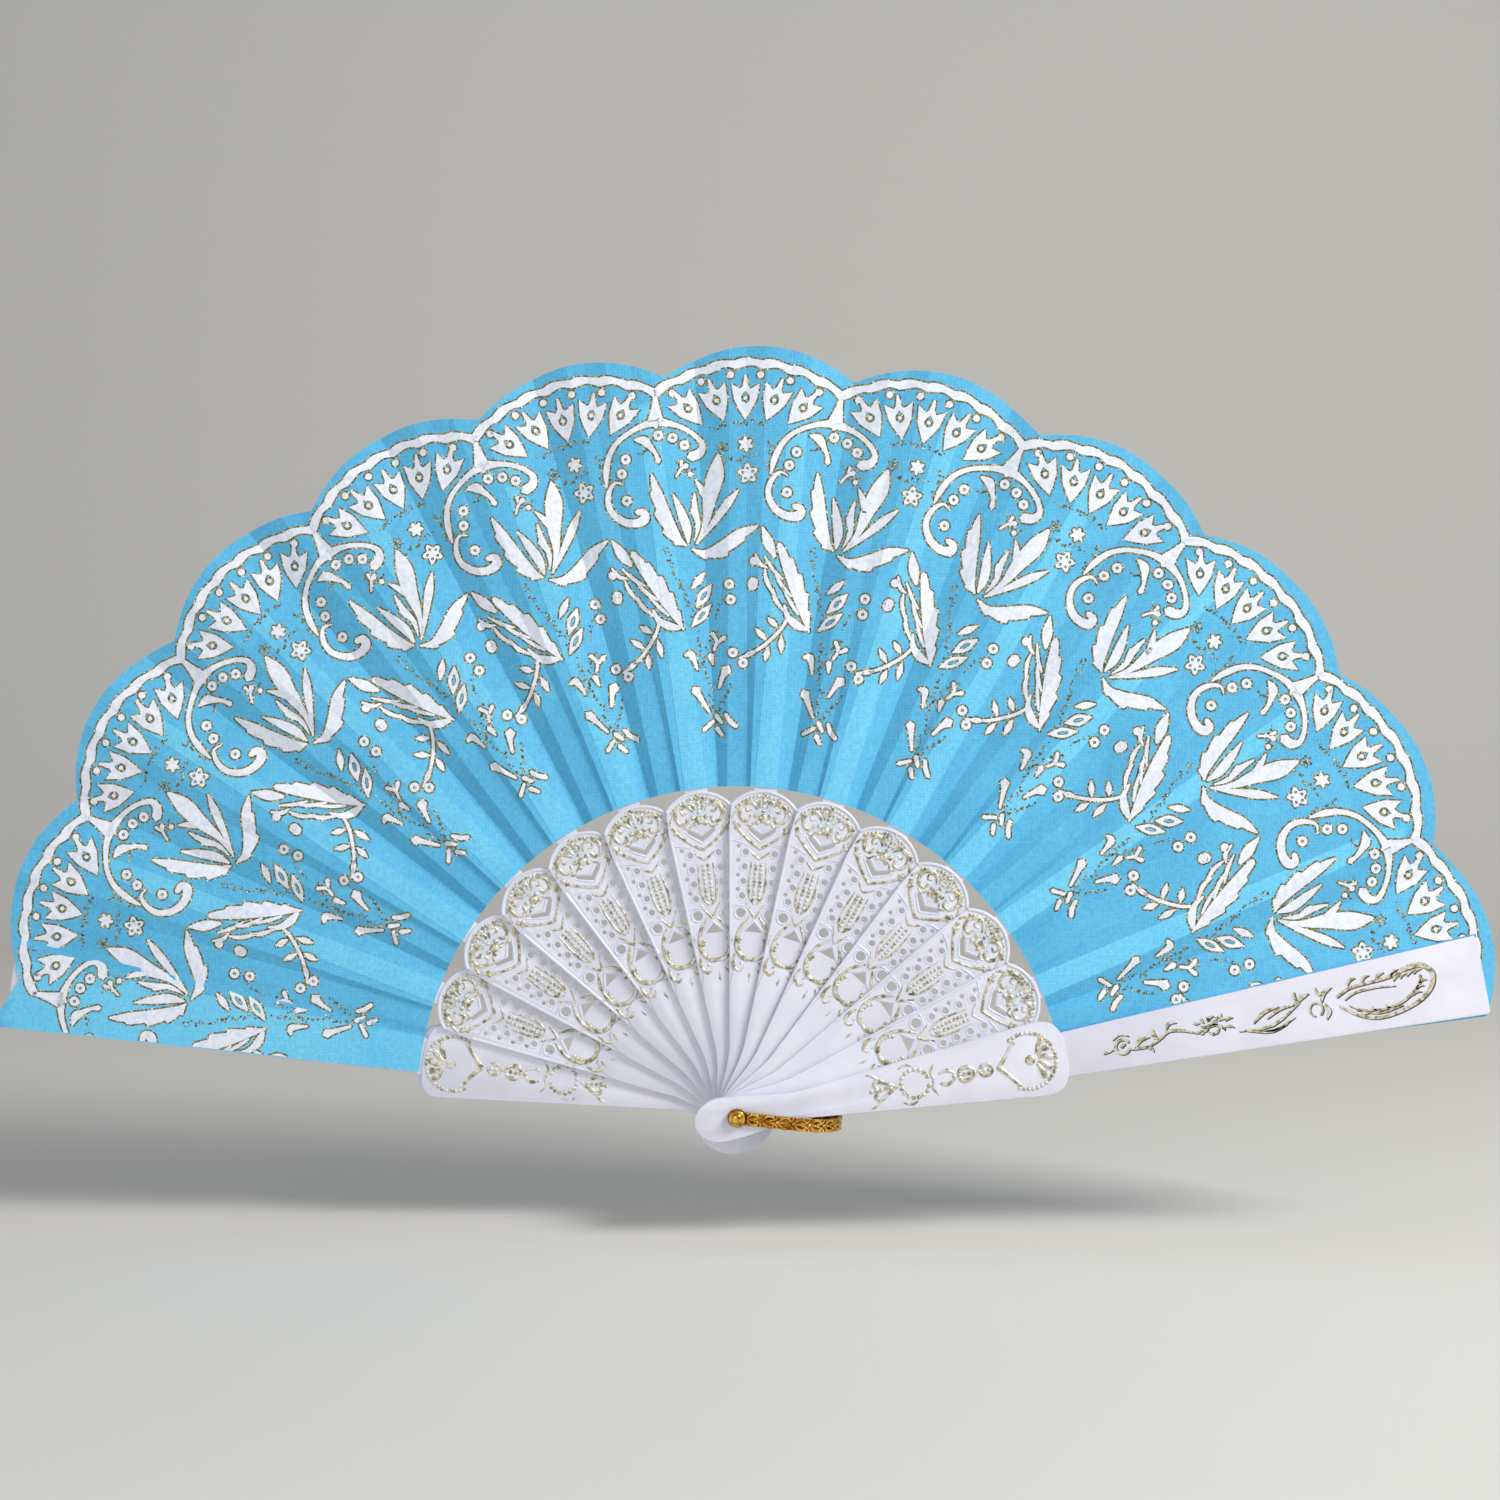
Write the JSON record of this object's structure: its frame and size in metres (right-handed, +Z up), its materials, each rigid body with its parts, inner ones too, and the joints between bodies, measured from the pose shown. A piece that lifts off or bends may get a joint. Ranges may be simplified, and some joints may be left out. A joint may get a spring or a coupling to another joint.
{
  "type": "folding hand fan",
  "caption": "Open folding hand fan with pierced moulded sticks, two guards, a pleated cloth leaf with a scalloped printed edge, a rivet and a metal bail.",
  "frame": {"origin": "on the rivet's axis, at the middle of the stack of sticks", "axes": "+X to the right along the open fan's width, +Z up through the middle of the open leaf, the fan's front faces -Y and the rivet runs along Y"},
  "size_m": [0.4312, 0.0296, 0.2316],
  "materials": {
    "guard": "moulded white plastic guard with gilded relief",
    "stick": "moulded white plastic stick, pierced, with gilded relief",
    "leaf": "thin sky-blue woven cloth with white and gold print",
    "metal": "polished gilt brass rivet",
    "bail": "gilt brass strap with a chased leaf pattern"
  },
  "bodies": {
    "rear_guard": {"rear_guard": "guard", "leaf_rear_hem": "leaf", "rivet": "metal", "rivet_washer": "metal"},
    "front_guard": {"front_guard": "guard", "leaf_front_hem": "leaf"},
    "bail": {"bail": "bail"},
    "stick_01": {"stick_01": "stick", "leaf_glued_01": "leaf"},
    "stick_02": {"stick_02": "stick", "leaf_glued_02": "leaf"},
    "stick_03": {"stick_03": "stick", "leaf_glued_03": "leaf"},
    "stick_04": {"stick_04": "stick", "leaf_glued_04": "leaf"},
    "stick_05": {"stick_05": "stick", "leaf_glued_05": "leaf"},
    "stick_06": {"stick_06": "stick", "leaf_glued_06": "leaf"},
    "stick_07": {"stick_07": "stick", "leaf_glued_07": "leaf"},
    "stick_08": {"stick_08": "stick", "leaf_glued_08": "leaf"},
    "stick_09": {"stick_09": "stick", "leaf_glued_09": "leaf"},
    "stick_10": {"stick_10": "stick", "leaf_glued_10": "leaf"},
    "stick_11": {"stick_11": "stick", "leaf_glued_11": "leaf"},
    "stick_12": {"stick_12": "stick", "leaf_glued_12": "leaf"},
    "fold_01": {"leaf_fold_01": "leaf"},
    "fold_02": {"leaf_fold_02": "leaf"},
    "fold_03": {"leaf_fold_03": "leaf"},
    "fold_04": {"leaf_fold_04": "leaf"},
    "fold_05": {"leaf_fold_05": "leaf"},
    "fold_06": {"leaf_fold_06": "leaf"},
    "fold_07": {"leaf_fold_07": "leaf"},
    "fold_08": {"leaf_fold_08": "leaf"},
    "fold_09": {"leaf_fold_09": "leaf"},
    "fold_10": {"leaf_fold_10": "leaf"},
    "fold_11": {"leaf_fold_11": "leaf"},
    "fold_12": {"leaf_fold_12": "leaf"},
    "fold_13": {"leaf_fold_13": "leaf"}
  },
  "joints": [
    {"name": "fan_fold", "type": "hinge", "parent": "rear_guard", "child": "front_guard", "pos_m": [0, 0, 0], "axis": [0, -1, 0], "range_deg": [0, 160.6]},
    {"name": "stick_01_turn", "type": "hinge", "parent": "rear_guard", "child": "stick_01", "pos_m": [0, 0, 0], "axis": [0, -1, 0], "range_deg": [0, 148.26]},
    {"name": "stick_02_turn", "type": "hinge", "parent": "rear_guard", "child": "stick_02", "pos_m": [0, 0, 0], "axis": [0, -1, 0], "range_deg": [0, 135.9]},
    {"name": "stick_03_turn", "type": "hinge", "parent": "rear_guard", "child": "stick_03", "pos_m": [0, 0, 0], "axis": [0, -1, 0], "range_deg": [0, 123.55]},
    {"name": "stick_04_turn", "type": "hinge", "parent": "rear_guard", "child": "stick_04", "pos_m": [0, 0, 0], "axis": [0, -1, 0], "range_deg": [0, 111.19]},
    {"name": "stick_05_turn", "type": "hinge", "parent": "rear_guard", "child": "stick_05", "pos_m": [0, 0, 0], "axis": [0, -1, 0], "range_deg": [0, 98.84]},
    {"name": "stick_06_turn", "type": "hinge", "parent": "rear_guard", "child": "stick_06", "pos_m": [0, 0, 0], "axis": [0, -1, 0], "range_deg": [0, 86.49]},
    {"name": "stick_07_turn", "type": "hinge", "parent": "rear_guard", "child": "stick_07", "pos_m": [0, 0, 0], "axis": [0, -1, 0], "range_deg": [0, 74.13]},
    {"name": "stick_08_turn", "type": "hinge", "parent": "rear_guard", "child": "stick_08", "pos_m": [0, 0, 0], "axis": [0, -1, 0], "range_deg": [0, 61.78]},
    {"name": "stick_09_turn", "type": "hinge", "parent": "rear_guard", "child": "stick_09", "pos_m": [0, 0, 0], "axis": [0, -1, 0], "range_deg": [0, 49.42]},
    {"name": "stick_10_turn", "type": "hinge", "parent": "rear_guard", "child": "stick_10", "pos_m": [0, 0, 0], "axis": [0, -1, 0], "range_deg": [0, 37.07]},
    {"name": "stick_11_turn", "type": "hinge", "parent": "rear_guard", "child": "stick_11", "pos_m": [0, 0, 0], "axis": [0, -1, 0], "range_deg": [0, 24.72]},
    {"name": "stick_12_turn", "type": "hinge", "parent": "rear_guard", "child": "stick_12", "pos_m": [0, 0, 0], "axis": [0, -1, 0], "range_deg": [0, 12.36]},
    {"name": "fold_01_turn", "type": "hinge", "parent": "rear_guard", "child": "fold_01", "pos_m": [0, 0, 0], "axis": [0, -1, 0], "range_deg": [0, 154.43]},
    {"name": "fold_02_turn", "type": "hinge", "parent": "rear_guard", "child": "fold_02", "pos_m": [0, 0, 0], "axis": [0, -1, 0], "range_deg": [0, 142.08]},
    {"name": "fold_03_turn", "type": "hinge", "parent": "rear_guard", "child": "fold_03", "pos_m": [0, 0, 0], "axis": [0, -1, 0], "range_deg": [0, 129.72]},
    {"name": "fold_04_turn", "type": "hinge", "parent": "rear_guard", "child": "fold_04", "pos_m": [0, 0, 0], "axis": [0, -1, 0], "range_deg": [0, 117.37]},
    {"name": "fold_05_turn", "type": "hinge", "parent": "rear_guard", "child": "fold_05", "pos_m": [0, 0, 0], "axis": [0, -1, 0], "range_deg": [0, 105.02]},
    {"name": "fold_06_turn", "type": "hinge", "parent": "rear_guard", "child": "fold_06", "pos_m": [0, 0, 0], "axis": [0, -1, 0], "range_deg": [0, 92.66]},
    {"name": "fold_07_turn", "type": "hinge", "parent": "rear_guard", "child": "fold_07", "pos_m": [0, 0, 0], "axis": [0, -1, 0], "range_deg": [0, 80.31]},
    {"name": "fold_08_turn", "type": "hinge", "parent": "rear_guard", "child": "fold_08", "pos_m": [0, 0, 0], "axis": [0, -1, 0], "range_deg": [0, 67.96]},
    {"name": "fold_09_turn", "type": "hinge", "parent": "rear_guard", "child": "fold_09", "pos_m": [0, 0, 0], "axis": [0, -1, 0], "range_deg": [0, 55.6]},
    {"name": "fold_10_turn", "type": "hinge", "parent": "rear_guard", "child": "fold_10", "pos_m": [0, 0, 0], "axis": [0, -1, 0], "range_deg": [0, 43.25]},
    {"name": "fold_11_turn", "type": "hinge", "parent": "rear_guard", "child": "fold_11", "pos_m": [0, 0, 0], "axis": [0, -1, 0], "range_deg": [0, 30.89]},
    {"name": "fold_12_turn", "type": "hinge", "parent": "rear_guard", "child": "fold_12", "pos_m": [0, 0, 0], "axis": [0, -1, 0], "range_deg": [0, 18.54]},
    {"name": "fold_13_turn", "type": "hinge", "parent": "rear_guard", "child": "fold_13", "pos_m": [0, 0, 0], "axis": [0, -1, 0], "range_deg": [0, 6.19]},
    {"name": "bail_swing", "type": "hinge", "parent": "rear_guard", "child": "bail", "pos_m": [0, 0, 0], "axis": [0, -1, 0], "range_deg": [-164, 0]}
  ],
  "couplings": [
    {"joint": "stick_01_turn", "follows": "fan_fold", "ratio": 0.92308},
    {"joint": "stick_02_turn", "follows": "fan_fold", "ratio": 0.84615},
    {"joint": "stick_03_turn", "follows": "fan_fold", "ratio": 0.76923},
    {"joint": "stick_04_turn", "follows": "fan_fold", "ratio": 0.69231},
    {"joint": "stick_05_turn", "follows": "fan_fold", "ratio": 0.61538},
    {"joint": "stick_06_turn", "follows": "fan_fold", "ratio": 0.53846},
    {"joint": "stick_07_turn", "follows": "fan_fold", "ratio": 0.46154},
    {"joint": "stick_08_turn", "follows": "fan_fold", "ratio": 0.38461},
    {"joint": "stick_09_turn", "follows": "fan_fold", "ratio": 0.30769},
    {"joint": "stick_10_turn", "follows": "fan_fold", "ratio": 0.23077},
    {"joint": "stick_11_turn", "follows": "fan_fold", "ratio": 0.15385},
    {"joint": "stick_12_turn", "follows": "fan_fold", "ratio": 0.076923},
    {"joint": "fold_01_turn", "follows": "fan_fold", "ratio": 0.96154},
    {"joint": "fold_02_turn", "follows": "fan_fold", "ratio": 0.88462},
    {"joint": "fold_03_turn", "follows": "fan_fold", "ratio": 0.80769},
    {"joint": "fold_04_turn", "follows": "fan_fold", "ratio": 0.73077},
    {"joint": "fold_05_turn", "follows": "fan_fold", "ratio": 0.65385},
    {"joint": "fold_06_turn", "follows": "fan_fold", "ratio": 0.57692},
    {"joint": "fold_07_turn", "follows": "fan_fold", "ratio": 0.5},
    {"joint": "fold_08_turn", "follows": "fan_fold", "ratio": 0.42308},
    {"joint": "fold_09_turn", "follows": "fan_fold", "ratio": 0.34615},
    {"joint": "fold_10_turn", "follows": "fan_fold", "ratio": 0.26923},
    {"joint": "fold_11_turn", "follows": "fan_fold", "ratio": 0.19231},
    {"joint": "fold_12_turn", "follows": "fan_fold", "ratio": 0.11539},
    {"joint": "fold_13_turn", "follows": "fan_fold", "ratio": 0.038462}
  ]
}
